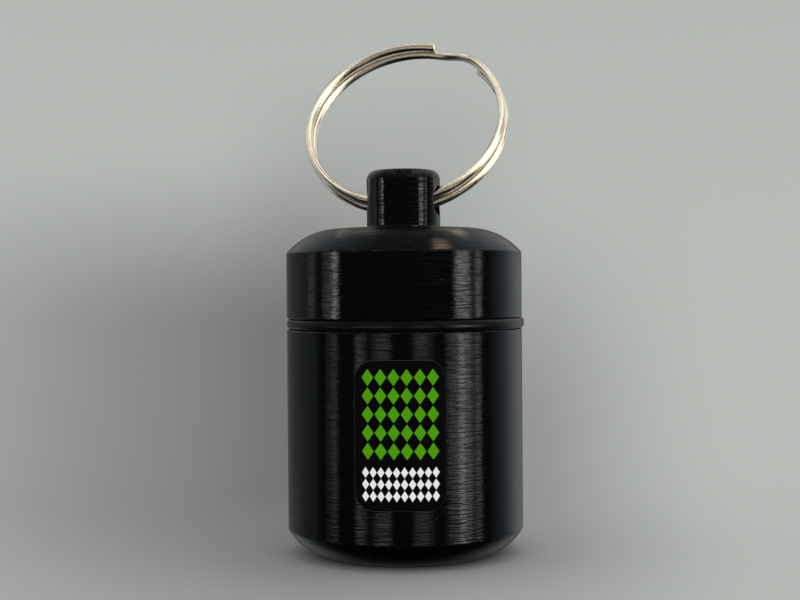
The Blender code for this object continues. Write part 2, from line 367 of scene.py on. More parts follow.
base_run, base_depth = dome(BASE_FLAT_RADIUS, CASE_RADIUS, BASE_RISE)
cup_corners = [
    (0.0, 0.0), *zip(base_run[:-1], base_depth[:-1]),
    (CASE_RADIUS, BASE_RISE, SOFT), (CASE_RADIUS, SHOULDER, OUTER_BREAK),
    (COLLAR_RADIUS, SHOULDER, SHARP), (COLLAR_RADIUS, COLLAR_TOP, BROKEN),
    (NECK_RADIUS, COLLAR_TOP, SHARP), (NECK_RADIUS, NECK_THREAD[1], BROKEN),
    (NECK_RADIUS - NECK_CHAMFER, NECK_TOP, BROKEN), (CAVITY_RADIUS, NECK_TOP, 0.2 * MM),
    (CAVITY_RADIUS, FLOOR, CAVITY_CORNER), (0.0, FLOOR),
]
cup_path, cup_edge = add_rows(*soften(cup_corners), screw=(NECK_RADIUS, *NECK_THREAD, THREAD_STEP))
cup_relief = -THREAD_DEPTH * thread(cup_path, NECK_RADIUS, *NECK_THREAD)
cup_patches = [(turn(cup_path, cup_relief), cup_edge[:, None])]
cup = make_piece("turned_cup", cup_patches, "case", "case_body", "anodised_body")

# %% [markdown]
# ## The cap
#
# The cap is one turned piece with its lug, which is drilled across for the split ring. A Boolean
# modifier would cut the hole with ragged slivers along its mouths, where light plays most. Here the
# two halves of the lug's side are grids that run from the half's border in to the mouth, over a small
# rounding and along the bore to the middle, so the rows follow the hole.

# %% Cap
BORE_RADIUS = 12.15 * MM
CEILING = 34.9 * MM
MOUTH_CHAMFER = 0.4 * MM
CAP_THREAD = (28.9 * MM, 33.6 * MM)
CREST_CLEARANCE = 0.13 * MM
CROWN_FLAT_RADIUS = 7.9 * MM
CAP_CREASE, CAP_TOP = 35.35 * MM, 38.2 * MM
LUG_RADIUS, LUG_TOP = 4.35 * MM, 45.114 * MM
LUG_ROUNDING, LUG_FILLET = 1.15 * MM, 0.4 * MM
LUG_MIDDLE = 41.5 * MM

crown_run, crown_depth = dome(CROWN_FLAT_RADIUS, CASE_RADIUS, CAP_TOP - CAP_CREASE)
cap_corners = [
    (0.0, CEILING), (BORE_RADIUS, CEILING, SOFT), (BORE_RADIUS, RIM + MOUTH_CHAMFER, BROKEN),
    (BORE_RADIUS + MOUTH_CHAMFER, RIM, BROKEN), (CASE_RADIUS, RIM, OUTER_BREAK),
    (CASE_RADIUS, CAP_CREASE, 0.25 * MM), *zip(crown_run[-2::-1], CAP_TOP - crown_depth[-2::-1]),
    (LUG_RADIUS, CAP_TOP, LUG_FILLET), (LUG_RADIUS, LUG_MIDDLE),
]
cap_path, cap_edge = add_rows(*soften(cap_corners), screw=(BORE_RADIUS, *CAP_THREAD, THREAD_STEP))
lug_start = int(np.argmax(cap_path[:, 1] > CAP_TOP + LUG_FILLET + HEM / 2.0)) + 1
cap_path, cap_edge = cap_path[:lug_start], cap_edge[:lug_start]
cap_relief = THREAD_DEPTH * thread(cap_path, BORE_RADIUS, *CAP_THREAD) - CREST_CLEARANCE
cap_relief *= fade(cap_path, BORE_RADIUS, *CAP_THREAD)
lug_corners = [(LUG_RADIUS, LUG_MIDDLE), (LUG_RADIUS, LUG_TOP, LUG_ROUNDING), (0.0, LUG_TOP)]
lug_path, lug_edge = add_rows(*soften(lug_corners, 14))
lug_end = int(np.argmax(lug_path[:, 1] > LUG_TOP - LUG_ROUNDING - 2.0 * HEM))
lug_path, lug_edge = lug_path[lug_end:], lug_edge[lug_end:]
print("the lug's side is drilled between", cap_path[-1] / MM, "and", lug_path[0] / MM)

# %% Lug with its cross-drilled hole
HOLE_RADIUS = 1.752 * MM
HOLE_HEIGHT = 41.502 * MM
HOLE_TURN = math.radians(-13.8)
MOUTH_ROUNDING = 0.1 * MM
SIDE_STEPS = 40
FACE_ROWS = 30
LIP_ROWS = 8


def half_lug(side):
    """One half of the lug's side with half of the hole. In the side laid flat, the point at share s
    between the border and the mouth lies on a straight ray from the hole's middle: (1 - s) * border + s
    * mouth. The mouth is where the drill's cylinder meets the lug's: across = r cos p, up = r sin p,
    out = sqrt(lug^2 - across^2)."""
    quarter = TURN_STEPS // 4
    middle = 0 if side > 0 else 2 * quarter
    low, high = cap_path[-1, 1], lug_path[0, 1]
    up = np.linspace(low, high, SIDE_STEPS + 1)
    columns = np.arange(-quarter, quarter + 1)
    edge_of = np.full(SIDE_STEPS - 1, quarter)
    flat_of = np.ones(len(columns))
    column = np.concatenate([columns, edge_of, columns[::-1], -edge_of])
    height = np.concatenate([flat_of * low, up[1:-1], flat_of * high, up[-2:0:-1]])
    place = (column + middle) % TURN_STEPS
    border = np.stack([LUG_RADIUS * round_cos[place], LUG_RADIUS * round_sin[place], height], -1)
    across = LUG_RADIUS * FULL_TURN * column / TURN_STEPS
    ray = np.arctan2(height - HOLE_HEIGHT, across)

    def on_lug(hole):
        turned = LUG_RADIUS * np.arcsin(hole * np.cos(ray) / LUG_RADIUS)
        return np.stack([turned, HOLE_HEIGHT + hole * np.sin(ray)], -1)

    mouth = on_lug(HOLE_RADIUS + MOUTH_ROUNDING)
    share = 1.0 - np.linspace(1.0, 0.0, FACE_ROWS)[1:, None, None] ** 1.6
    flat = (1.0 - share) * np.stack([across, height], -1) + share * mouth
    angle = flat[..., 0] / LUG_RADIUS
    outwards = side * LUG_RADIUS
    face = np.stack([outwards * np.cos(angle), outwards * np.sin(angle), flat[..., 1]], -1)
    turned, raised = on_lug(HOLE_RADIUS).T
    out = outwards * np.cos(turned / LUG_RADIUS)
    corner = np.stack([out, side * HOLE_RADIUS * np.cos(ray), raised], -1)
    inside = corner - (side * MOUTH_ROUNDING, 0.0, 0.0)
    bend = np.linspace(0.0, 1.0, LIP_ROWS)[1:, None, None]
    lip = (1.0 - bend) ** 2 * face[-1] + 2.0 * bend * (1.0 - bend) * corner + bend ** 2 * inside
    depth = np.concatenate([[0.96], np.linspace(0.85, 0.0, LIP_ROWS)])[:, None, None]
    bore = inside * np.where([True, False, False], depth, 1.0)
    rise = np.sin(bend.ravel() * math.pi)
    hump = np.concatenate([np.zeros(1 + len(face)), rise, np.zeros(len(bore))])
    return np.concatenate([border[None], face, lip, bore]), hump[:, None]


def turned_about(grid, angle):
    """The grid turned about the vertical axis by an angle."""
    cosine, sine = math.cos(angle), math.sin(angle)
    return grid @ np.array([[cosine, sine, 0.0], [-sine, cosine, 0.0], [0.0, 0.0, 1.0]])


cap_patches = [(turn(cap_path, cap_relief), cap_edge[:, None]), (turn(lug_path), lug_edge[:, None])]
cap_patches += [half_lug(1.0), half_lug(-1.0)]
cap_patches = [(turned_about(grid, HOLE_TURN), mask) for grid, mask in cap_patches]
cap = make_piece("turned_cap", cap_patches, "cap", "cap", "anodised_cap")

# %% [markdown]
# ## The seal
#
# The rubber ring is squeezed between the cup's shoulder and the cap's rim, so its section is a rounded
# square that touches both. Rubber never sits quite true: it bulges a little more on one side. A torus
# primitive would be round in section and perfectly centred, so the ring is worked out with a section of
# its own and a small shift.

# %% Seal
SEAL_WIDTH = 1.05 * MM
SEAL_HEIGHT = 1.28 * MM
SEAL_OUTER = 14.02 * MM
SEAL_SHIFT = 0.13 * MM
SEAL_SQUARENESS = 2.5
SEAL_SECTION_STEPS = 28
SEAL_WAVE = 0.02 * MM

around = FULL_TURN * np.arange(SEAL_SECTION_STEPS) / SEAL_SECTION_STEPS
section = np.stack([np.cos(around), np.sin(around)], -1)
section = np.sign(section) * np.abs(section) ** (2.0 / SEAL_SQUARENESS)
section *= (SEAL_WIDTH / 2.0, SEAL_HEIGHT / 2.0)
seal_path = section + (SEAL_OUTER - SEAL_WIDTH / 2.0, (SHOULDER + RIM) / 2.0)
seal_path = np.vstack([seal_path, seal_path[:1]])
waviness = SEAL_WAVE * np.sin(5.0 * round_angle + 0.7) * np.ones((len(seal_path), 1))
seal_grid = turn(seal_path, waviness) + (SEAL_SHIFT, 0.0, 0.0)
seal = make_piece("rubber_seal", [(seal_grid, np.zeros((1, 1)))], "seal", "o_ring", "seal_rubber")

# %% [markdown]
# ## The split ring
#
# A split ring is one wire of nearly two turns. It starts on the front coil, runs once round, steps
# sideways by one wire over a short jog and ends on the back coil. Two tori would lack the jog and the
# cut ends, which are what one sees first. The section, a rounded rectangle, is carried along the whole
# path as one tube with closed ends.

# %% Split ring
RING_RADIUS = 12.5 * MM
WIRE_WIDTH = 0.92 * MM
WIRE_THICKNESS = 1.08 * MM
WIRE_SQUARENESS = 2.3
COIL_PITCH = 1.14 * MM
COIL_SIDESTEP = -0.27 * MM
COIL_LIFT = 0.32 * MM
FRONT_END, BACK_END = math.radians(78.0), math.radians(48.0)
JOG_START, JOG = math.radians(50.0), math.radians(27.0)
RING_REACH = 11.37 * MM
RING_SKEW = math.radians(-5.1)
RING_LEAN = math.radians(32.2)
WIRE_SECTION_STEPS = 24
WIRE_ROWS = 640

wire_angle = np.linspace(FRONT_END, BACK_END + 2.0 * FULL_TURN, WIRE_ROWS)
end_inset = np.radians([0.0, 0.0, 0.12, 0.35])
wire_angle[:4] = wire_angle[0] + end_inset
wire_angle[-4:] = wire_angle[-1] - end_inset[::-1]
# The tube closes over three short rows at each end
wire_size = np.ones(len(wire_angle))
wire_size[:3] = (0.0, 0.88, 0.97)
wire_size[-3:] = (0.97, 0.88, 0.0)
jog_share = np.clip((wire_angle - JOG_START - FULL_TURN) / JOG, 0.0, 1.0)
coil_share = (0.5 - jog_share * jog_share * (3.0 - 2.0 * jog_share))[:, None]


def wire_surface():
    """The tube: at the angle a the section's point (u, v) lies at radius R + u in the ring's plane and
    v across it. The section is |u / w|^2.3 + |v / t|^2.3 = 1. The share, +-1/2, moves it to the front
    or the back coil, which are a pitch apart and a little off one centre. The ring hangs from the
    hole's middle, skewed in its own plane, leaning back about the hole, and turned with the hole about
    the case's axis."""
    bend = FULL_TURN * (np.arange(WIRE_SECTION_STEPS) + 0.5) / WIRE_SECTION_STEPS
    power = 2.0 / WIRE_SQUARENESS
    corner = np.sign(np.cos(bend)) * np.abs(np.cos(bend)) ** power * WIRE_WIDTH / 2.0
    side = np.sign(np.sin(bend)) * np.abs(np.sin(bend)) ** power * WIRE_THICKNESS / 2.0
    radius = RING_RADIUS - WIRE_WIDTH / 2.0 + corner * wire_size[:, None]
    middle_x, middle_z = RING_REACH * math.sin(RING_SKEW), RING_REACH * math.cos(RING_SKEW)
    x = middle_x + coil_share * COIL_SIDESTEP + radius * np.cos(wire_angle)[:, None]
    z = middle_z + coil_share * COIL_LIFT + radius * np.sin(wire_angle)[:, None]
    y = -coil_share * COIL_PITCH - side * wire_size[:, None]
    back, upright = math.sin(RING_LEAN), math.cos(RING_LEAN)
    leaning = np.stack([x, y * upright + z * back, z * upright - y * back], -1)
    placed_tube = turned_about(leaning, HOLE_TURN) + (0.0, 0.0, HOLE_HEIGHT)
    corners = np.abs(np.sin(2.0 * bend)) ** 6.0
    return placed_tube, np.broadcast_to(corners, x.shape)


split_ring = make_piece("split_ring_wire", [wire_surface()], "ring", "split_ring", "ring_steel")

# %% [markdown]
# ## The label
#
# A sticker of thin vinyl lies on the cup, cut as a rounded rectangle. Its grid runs in rings from the
# middle to the outline, over the cut edge and back behind, and each point is then bent round the cup.
# The print needs to know where it is on the sheet, so this piece gets a UV map: the flat place before
# the bend.

# %% Label
LABEL_WIDTH = 10.3 * MM
LABEL_HEIGHT = 16.5 * MM
LABEL_CORNER = 2.2 * MM
LABEL_MIDDLE = 15.1 * MM
LABEL_TURN = math.radians(-2.3)
LABEL_THICKNESS = 0.13 * MM
GLUE = 0.004 * MM
LABEL_STEPS = 192

label_turn = FULL_TURN * np.arange(LABEL_STEPS) / LABEL_STEPS
label_way = np.stack([np.cos(label_turn), np.sin(label_turn)], -1)
label_core = np.array([LABEL_WIDTH, LABEL_HEIGHT]) / 2.0 - LABEL_CORNER


def label_outline(inset):
    """The rounded rectangle drawn in by an inset: where each ray (cos a, sin a) leaves a box with round
    corners, found by halving: the distance of q = |p| - core outside 0 is compared with the corner's
    radius."""
    near, far = np.zeros(len(label_way)), np.full(len(label_way), LABEL_HEIGHT)
    for _ in range(40):
        middle = (near + far) / 2.0
        beyond = np.maximum(np.abs(label_way * middle[:, None]) - label_core, 0.0)
        outside = np.hypot(beyond[:, 0], beyond[:, 1]) > LABEL_CORNER - inset
        near, far = np.where(outside, near, middle), np.where(outside, middle, far)
    return label_way * near[:, None]


def label_surface():
    """Rings of the sheet as (place on the sheet, radius from the case's axis), bent round the cup: the
    place (u, v) at the radius r goes to the angle turn + u / r."""
    outer, inner = CASE_RADIUS + LABEL_THICKNESS, CASE_RADIUS + GLUE
    whole, front, behind = label_outline(0.0), label_outline(0.03 * MM), label_outline(0.02 * MM)
    face = [(front * share, outer) for share in np.linspace(0.0, 1.0, 34)]
    rim = [(label_outline(0.01 * MM), outer - 0.008 * MM), (whole, outer - 0.03 * MM)]
    back = [(whole, inner)] + [(behind * share, inner) for share in np.linspace(1.0, 0.0, 24)]
    flat = np.stack([place for place, _ in face + rim + back])
    radius = np.array([radius for _, radius in face + rim + back])[:, None]
    angle = LABEL_TURN + flat[..., 0] / outer
    bent = np.stack([radius * np.sin(angle), -radius * np.cos(angle), LABEL_MIDDLE + flat[..., 1]], -1)
    mask = np.concatenate([np.zeros(len(face)), np.ones(len(rim) + 1), np.zeros(len(back) - 1)])
    return bent, mask[:, None]


label = make_piece("printed_label", [label_surface()], "case", "label", "label_vinyl")
sheet_points = np.empty(len(label.data.vertices) * 3)
label.data.vertices.foreach_get("co", sheet_points)
x, y, z = sheet_points.reshape(-1, 3).T
across = (np.arctan2(x, -y) - LABEL_TURN) * (CASE_RADIUS + LABEL_THICKNESS)
sheet_uv = np.stack([across / LABEL_WIDTH, (z - LABEL_MIDDLE) / LABEL_HEIGHT], -1) + 0.5
corner_vertex = np.empty(len(label.data.loops), dtype=np.int32)
label.data.loops.foreach_get("vertex_index", corner_vertex)
sheet_map = label.data.uv_layers.new(name="sheet")
sheet_map.data.foreach_set("uv", sheet_uv[corner_vertex].astype(np.float32).ravel())

# %% [markdown]
# ## Building finishes from nodes
#
# A finish is a small graph: coordinates go in, patterns come out and steer the shader's colour,
# roughness and bump. The helpers below only save typing, and find the graph from the outputs that
# they get. Patterns that more than one finish uses, such as the lathe's lines, become node groups,
# which are built once and get their own values in each material.

# %% Helpers for node graphs
def add_node(tree, kind, inputs=(), **settings):
    """Adds a shader node. Inputs are pairs of a socket's name or number and a value or an output."""
    node = tree.nodes.new("ShaderNode" + kind)
    for key, value in settings.items():
        setattr(node, key, value)
    for socket, value in inputs:
        if isinstance(value, bpy.types.NodeSocket):
            tree.links.new(value, node.inputs[socket])
        else:
            node.inputs[socket].default_value = value
    return node


def tree_of(*values):
    """The tree of the first output among some values."""
    return next(value.node.id_data for value in values if isinstance(value, bpy.types.NodeSocket))


def calculate(operation, *values):
    """The output of a Math node on one to three values, of which at least one is an output."""
    return add_node(tree_of(*values), "Math", enumerate(values), operation=operation).outputs[0]


def times(*values):
    """The product of outputs and numbers."""
    return functools.reduce(functools.partial(calculate, "MULTIPLY"), values)


def plus(*values):
    """The sum of outputs and numbers."""
    return functools.reduce(functools.partial(calculate, "ADD"), values)


def spread(value, low, high, to_low=0.0, to_high=1.0):
    """Maps an output from one range to another, smoothly and clamped."""
    ends = [("From Min", low), ("From Max", high), ("To Min", to_low), ("To Max", to_high)]
    pairs = [("Value", value), *ends]
    node = add_node(tree_of(value), "MapRange", pairs, interpolation_type="SMOOTHSTEP")
    return node.outputs["Result"]


def split(vector):
    """The three numbers of a vector."""
    return add_node(tree_of(vector), "SeparateXYZ", [(0, vector)]).outputs


def object_place(tree):
    """Where a point lies on its piece: Object coordinates, which move with the piece."""
    return add_node(tree, "TexCoord").outputs["Object"]


def noise(tree, scale, detail, roughness):
    """The height of a noise pattern on the piece."""
    place = object_place(tree)
    pairs = [("Vector", place), ("Scale", scale), ("Detail", detail), ("Roughness", roughness)]
    return add_node(tree, "TexNoise", pairs).outputs["Fac"]


def mix_colour(share, first, second):
    """A colour between two, by a share from 0 to 1."""
    pairs = [(0, share), (6, first), (7, second)]
    return add_node(tree_of(share), "Mix", pairs, data_type="RGBA").outputs[2]


def new_group(name, inputs, outputs):
    """A node group with named number inputs and outputs, and its inner ends."""
    tree = bpy.data.node_groups.new(name, "ShaderNodeTree")
    for label_text, value in inputs:
        socket = tree.interface.new_socket(label_text, in_out="INPUT", socket_type="NodeSocketFloat")
        socket.default_value = value
    for label_text in outputs:
        tree.interface.new_socket(label_text, in_out="OUTPUT", socket_type="NodeSocketFloat")
    return tree, tree.nodes.new("NodeGroupInput").outputs, tree.nodes.new("NodeGroupOutput").inputs


def use_group(tree, group, **values):
    """Places a group in a material with its own values and returns its outputs."""
    node = add_node(tree, "Group", node_tree=group)
    for name, value in values.items():
        node.inputs[name.replace("_", " ")].default_value = value
    return node.outputs


def new_finish(name):
    """A new material with its tree and its shader."""
    material = bpy.data.materials.new(name)
    material.use_nodes = True
    return material, material.node_tree, material.node_tree.nodes["Principled BSDF"]


def feed(shader, base, rough, height, depth):
    """Links a colour, a roughness and a height, which stands for a depth in metres, to a shader."""
    tree = shader.id_data
    bump = add_node(tree, "Bump", [("Height", height), ("Strength", 1.0), ("Distance", depth)])
    for socket, value in (("Base Color", base), ("Roughness", rough), ("Normal", bump.outputs[0])):
        tree.links.new(value, shader.inputs[socket])


# %% [markdown]
# ## Patterns shared by several finishes
#
# The lathe leaves a fine spiral that reads as rings. Each ring is a place along the outline, so the
# pattern's fast coordinates are the distance from the axis and the height, while x and y only enter
# slowly and make the rings vary on their way round. Noise with four coordinates does this without a
# seam.

# %% Group for lathe lines
FINE_SPACING, COARSE_SPACING = 0.2 * MM, 0.4 * MM
COARSE_SHARE = 0.3


def build_lathe_lines():
    """Height = two noises of (radius / spacing, height / spacing, x / patch, y / patch), and Patches,
    the coarse one alone."""
    spacings = [("Fine spacing", FINE_SPACING), ("Coarse spacing", COARSE_SPACING), ("Patch", 3.0 * MM)]
    tree, given, result = new_group("Lathe lines", spacings, ["Height", "Patches"])
    x, y, z = split(object_place(tree))
    radius = calculate("SQRT", plus(times(x, x), times(y, y)))
    slow_x = calculate("DIVIDE", x, given["Patch"])
    slow_y = calculate("DIVIDE", y, given["Patch"])
    heights = []
    for spacing in (given["Fine spacing"], given["Coarse spacing"]):
        outwards, upwards = [calculate("DIVIDE", way, spacing) for way in (radius, z)]
        place = add_node(tree, "CombineXYZ", enumerate((outwards, upwards, slow_x))).outputs[0]
        pairs = [("Vector", place), ("W", slow_y), ("Scale", 1.0), ("Detail", 1.0), ("Roughness", 0.6)]
        lines = add_node(tree, "TexNoise", pairs, noise_dimensions="4D")
        heights.append(lines.outputs["Fac"])
    tree.links.new(plus(heights[0], times(heights[1], COARSE_SHARE)), result["Height"])
    tree.links.new(heights[1], result["Patches"])
    return tree


lathe_lines = build_lathe_lines()
print("built", lathe_lines.name)

# %% [markdown]
# Edges that rub on keys and pockets lose their colour first. The pieces carry their roundings as an
# attribute named edge, so the wear needs no guess at where an edge is. Noise breaks it up, because wear
# is never even.

# %% Groups for edge wear and for handling marks
def build_edge_wear():
    """Worn = the edge attribute times a noise that is cut by the amount."""
    tree, given, result = new_group("Edge wear", [("Amount", 0.5), ("Patch", 0.6 * MM)], ["Worn"])
    edge = add_node(tree, "Attribute", attribute_name="edge").outputs["Fac"]
    breaks = noise(tree, calculate("DIVIDE", 1.0, given["Patch"]), 4.0, 0.65)
    level = plus(breaks, given["Amount"], -0.75)
    tree.links.new(times(edge, spread(level, 0.0, 0.25)), result["Worn"])
    return tree


def build_handling():
    """Smudge = a slow, soft noise, and Specks = the rare peaks of a fine one, for lint and dust."""
    sizes = [("Smudge size", 6.0 * MM), ("Speck size", 0.4 * MM)]
    tree, given, result = new_group("Handling", sizes, ["Smudge", "Specks"])
    smudge = noise(tree, calculate("DIVIDE", 1.0, given["Smudge size"]), 3.0, 0.6)
    specks = noise(tree, calculate("DIVIDE", 1.0, given["Speck size"]), 2.0, 0.5)
    tree.links.new(spread(smudge, 0.35, 0.7), result["Smudge"])
    tree.links.new(spread(specks, 0.74, 0.8), result["Specks"])
    return tree


edge_wear = build_edge_wear()
handling = build_handling()
print("built", edge_wear.name, "and", handling.name)

# %% [markdown]
# ## Black anodised aluminium
#
# Anodising grows a clear, dyed layer on the metal, so the black reflects like glass over ink rather
# than like metal: no metallic colour, and a reflection that strengthens towards the outline. The
# lathe's rings under it spread each reflection along the axis, which turns even a short lamp into an
# upright strip. A rougher shader alone would blur the strips sideways too. Here the gloss is
# anisotropic about the axis, the slopes of the fine lines throw each reflection up and down and leave
# their hatch in it, and a few faint pits give the hatch its speckle.

# %% Anodised finish for cup and cap
BLACK = (0.0007, 0.0008, 0.0013, 1.0)
WORN_BLACK = (0.03, 0.03, 0.032, 1.0)
DUST = (0.2, 0.2, 0.2, 1.0)
ANODISED_WEAR = 0.3
GLOSS_CHANGE = 0.02
PITS_PER_METRE = 6500.0
PIT_SHARE = 0.12


def anodised(name, roughness, depth, patch):
    """Black anodised aluminium with lathe lines of a depth, in patches of a size round the piece."""
    material, tree, shader = new_finish(name)
    lines = use_group(tree, lathe_lines, Patch=patch)
    worn = use_group(tree, edge_wear, Amount=ANODISED_WEAR)["Worn"]
    marks = use_group(tree, handling)
    base = mix_colour(worn, BLACK, WORN_BLACK)
    base = mix_colour(times(marks["Specks"], 0.3), base, DUST)
    glossy, dull = roughness - GLOSS_CHANGE, roughness + GLOSS_CHANGE
    rough = spread(lines["Patches"], 0.3, 0.7, glossy, dull)
    rough = plus(rough, times(marks["Smudge"], GLOSS_CHANGE))
    pits = noise(tree, PITS_PER_METRE, 1.0, 0.5)
    feed(shader, base, rough, plus(lines["Height"], times(pits, PIT_SHARE)), depth)
    round_axis = add_node(tree, "Tangent", direction_type="RADIAL", axis="Z")
    tree.links.new(round_axis.outputs[0], shader.inputs["Tangent"])
    shader.inputs["IOR"].default_value = 1.6
    shader.inputs["Anisotropic"].default_value = 0.97
    shader.inputs["Anisotropic Rotation"].default_value = 0.25
    return material


cup.data.materials.append(anodised("black_anodised_cup", 0.14, 0.045 * MM, 3.0 * MM))
cap.data.materials.append(anodised("black_anodised_cap", 0.13, 0.05 * MM, 3.5 * MM))

# %% [markdown]
# ## Nickel, rubber and printed vinyl
#
# The ring is spring steel under nickel, a slightly yellow metal with a pitted gloss and small dents.
# The seal is satin rubber with a little dust. The label is vinyl with a harlequin print: a lattice of
# diamonds, one colour on every other diamond, in a tall green field over a low white one. An image
# could hold the print, but a pattern stays sharp at any size. A diamond lattice is two sets of slanting
# stripes, u / a + v / b and u / a - v / b, so rounding both and adding them tells which diamond a point
# is in.

# %% Nickel-plated wire
NICKEL = (0.70, 0.655, 0.56, 1.0)
HANDLED_NICKEL = (0.56, 0.51, 0.41, 1.0)
RUBBED_NICKEL = (0.74, 0.70, 0.62, 1.0)


def nickel():
    """Warm bright metal, duller in its fine pits, with small dents."""
    material, tree, shader = new_finish("nickel_plated_wire")
    marks = use_group(tree, handling, Smudge_size=2.5 * MM, Speck_size=0.3 * MM)
    worn = use_group(tree, edge_wear, Amount=0.5, Patch=0.8 * MM)["Worn"]
    pitting = noise(tree, 4200.0, 3.0, 0.6)
    dents = noise(tree, 700.0, 2.0, 0.5)
    base = mix_colour(marks["Smudge"], NICKEL, HANDLED_NICKEL)
    base = mix_colour(worn, base, RUBBED_NICKEL)
    rough = spread(pitting, 0.3, 0.7, 0.15, 0.25)
    feed(shader, base, rough, plus(pitting, times(dents, 5.0)), 0.006 * MM)
    shader.inputs["Metallic"].default_value = 1.0
    return material


split_ring.data.materials.append(nickel())

# %% Rubber
RUBBER = (0.003, 0.003, 0.0035, 1.0)
RUBBER_DUST = (0.2, 0.19, 0.18, 1.0)


def rubber():
    """Black rubber with a fine grain, a few specks of dust and a soft sheen."""
    material, tree, shader = new_finish("black_seal_rubber")
    marks = use_group(tree, handling, Smudge_size=3.0 * MM, Speck_size=0.25 * MM)
    grain = noise(tree, 9000.0, 3.0, 0.6)
    base = mix_colour(times(marks["Specks"], 0.5), RUBBER, RUBBER_DUST)
    feed(shader, base, spread(marks["Smudge"], 0.0, 1.0, 0.17, 0.26), grain, 0.012 * MM)
    return material


seal.data.materials.append(rubber())

# %% Printed vinyl
LABEL_GREEN = (0.088, 0.38, 0.002, 1.0)
LABEL_WHITE = (1.0, 1.0, 1.0, 1.0)
LABEL_BLACK = (0.002, 0.002, 0.002, 1.0)
LABEL_RIM = (0.10, 0.10, 0.10, 1.0)
LINE_SOFTNESS = 0.03
LINE_SHARE = 0.02
# Middle height, width and height, corner radius, and a diamond's width and height, in millimetres
GREEN_FIELD = (2.35, (8.7, 10.1), 1.3, (1.45, 2.02))
WHITE_FIELD = (-5.3, (8.7, 3.9), 0.6, (0.87, 1.3))


def rounded_field(u, v, size, corner):
    """1 inside a rounded box round the origin: the distance outside a smaller box, max(|p| - core, 0),
    is under the corner's radius."""
    squares = []
    for place, width in zip((u, v), size):
        beyond = plus(calculate("ABSOLUTE", place), corner - width / 2.0)
        beyond = calculate("MAXIMUM", beyond, 0.0)
        squares.append(times(beyond, beyond))
    distance = calculate("SQRT", plus(*squares))
    return spread(distance, corner - LINE_SOFTNESS, corner + LINE_SOFTNESS, 1.0, 0.0)


def harlequin(u, v, width, height):
    """1 on every other diamond of a lattice, whose diamonds have a width and a height, less a line
    along each side."""
    columns, rows = calculate("DIVIDE", u, width), calculate("DIVIDE", v, height)
    slants = [calculate(kind, columns, rows) for kind in ("ADD", "SUBTRACT")]
    parity = plus(*[calculate("FLOOR", slant) for slant in slants])
    odd = calculate("ABSOLUTE", calculate("FLOORED_MODULO", parity, 2.0))
    inked = calculate("SUBTRACT", 1.0, odd)
    for slant in slants:
        side = calculate("ABSOLUTE", plus(calculate("FRACT", slant), -0.5))
        line = spread(side, 0.5 - LINE_SHARE - LINE_SOFTNESS, 0.5 - LINE_SHARE, 1.0, 0.0)
        inked = times(inked, line)
    return inked


def diamond_field(u, v, middle, size, corner, diamond):
    """A lattice of diamonds inside a rounded field at a height on the sheet."""
    v = calculate("SUBTRACT", v, middle)
    return times(rounded_field(u, v, size, corner), harlequin(u, v, *diamond))


def printed_vinyl():
    """The print from the sheet's UV map, with a raised ink film and a light cut edge."""
    material, tree, shader = new_finish("printed_vinyl")
    sheet = add_node(tree, "UVMap", uv_map="sheet").outputs[0]
    across, upwards, _ = split(sheet)
    u = times(plus(across, -0.5), LABEL_WIDTH / MM)
    v = times(plus(upwards, -0.5), LABEL_HEIGHT / MM)
    green = diamond_field(u, v, *GREEN_FIELD)
    white = diamond_field(u, v, *WHITE_FIELD)
    rim = add_node(tree, "Attribute", attribute_name="edge").outputs["Fac"]
    orange_peel = noise(tree, 2500.0, 2.0, 0.5)
    base = mix_colour(green, LABEL_BLACK, LABEL_GREEN)
    base = mix_colour(white, base, LABEL_WHITE)
    base = mix_colour(times(rim, 0.8), base, LABEL_RIM)
    ink = calculate("MAXIMUM", green, white)
    height = plus(times(ink, 3.0), orange_peel)
    feed(shader, base, spread(ink, 0.0, 1.0, 0.38, 0.5), height, 0.008 * MM)
    shader.inputs["Specular IOR Level"].default_value = 0.08
    return material


label.data.materials.append(printed_vinyl())
print("finishes:", ", ".join(material.name for material in bpy.data.materials))

# %% [markdown]
# ## Camera
#
# The camera stands a forearm's length in front of the case, a little above its middle, and is rolled by
# less than half a degree. Its place and lens follow from the outlines in the photograph.

# %% Camera
CAMERA_PLACE = (-0.492 * MM, -166.934 * MM, 31.679 * MM)
CAMERA_PITCH = math.radians(0.655)
CAMERA_ROLL = math.radians(-0.424)
CAMERA_LENS = 63.29


def placed(axes, place):
    """The matrix of a thing at a place, with its own three axes as columns."""
    rows = [(*row, at) for row, at in zip(np.column_stack(axes), place)]
    return Matrix(rows + [(0.0, 0.0, 0.0, 1.0)])


camera = bpy.data.objects.new("camera", bpy.data.cameras.new("camera"))
camera.data.sensor_width = 36.0
camera.data.lens = CAMERA_LENS
camera.data.clip_start = 0.01
level = np.array([1.0, 0.0, 0.0])
forward = np.array([0.0, math.cos(CAMERA_PITCH), -math.sin(CAMERA_PITCH)])
upright = np.cross(level, forward)
right = math.cos(CAMERA_ROLL) * level + math.sin(CAMERA_ROLL) * upright
up = np.cross(right, forward)
camera.matrix_world = placed([right, up, -forward], CAMERA_PLACE)
scene.collection.objects.link(camera)
scene.camera = camera
print("camera looks along", np.round(forward, 4))

# %% [markdown]
# ## Floor, lamps and room
#
# The case stands on pale paper that curves up into a wall, so that no horizon shows. A lamp's shadow
# would end sharply, so the soft shade behind the case is painted: it fans out from a place in front,
# from which the slopes aside and above are measured. Each ramp below gives where it starts and ends
# and how strong it is there.

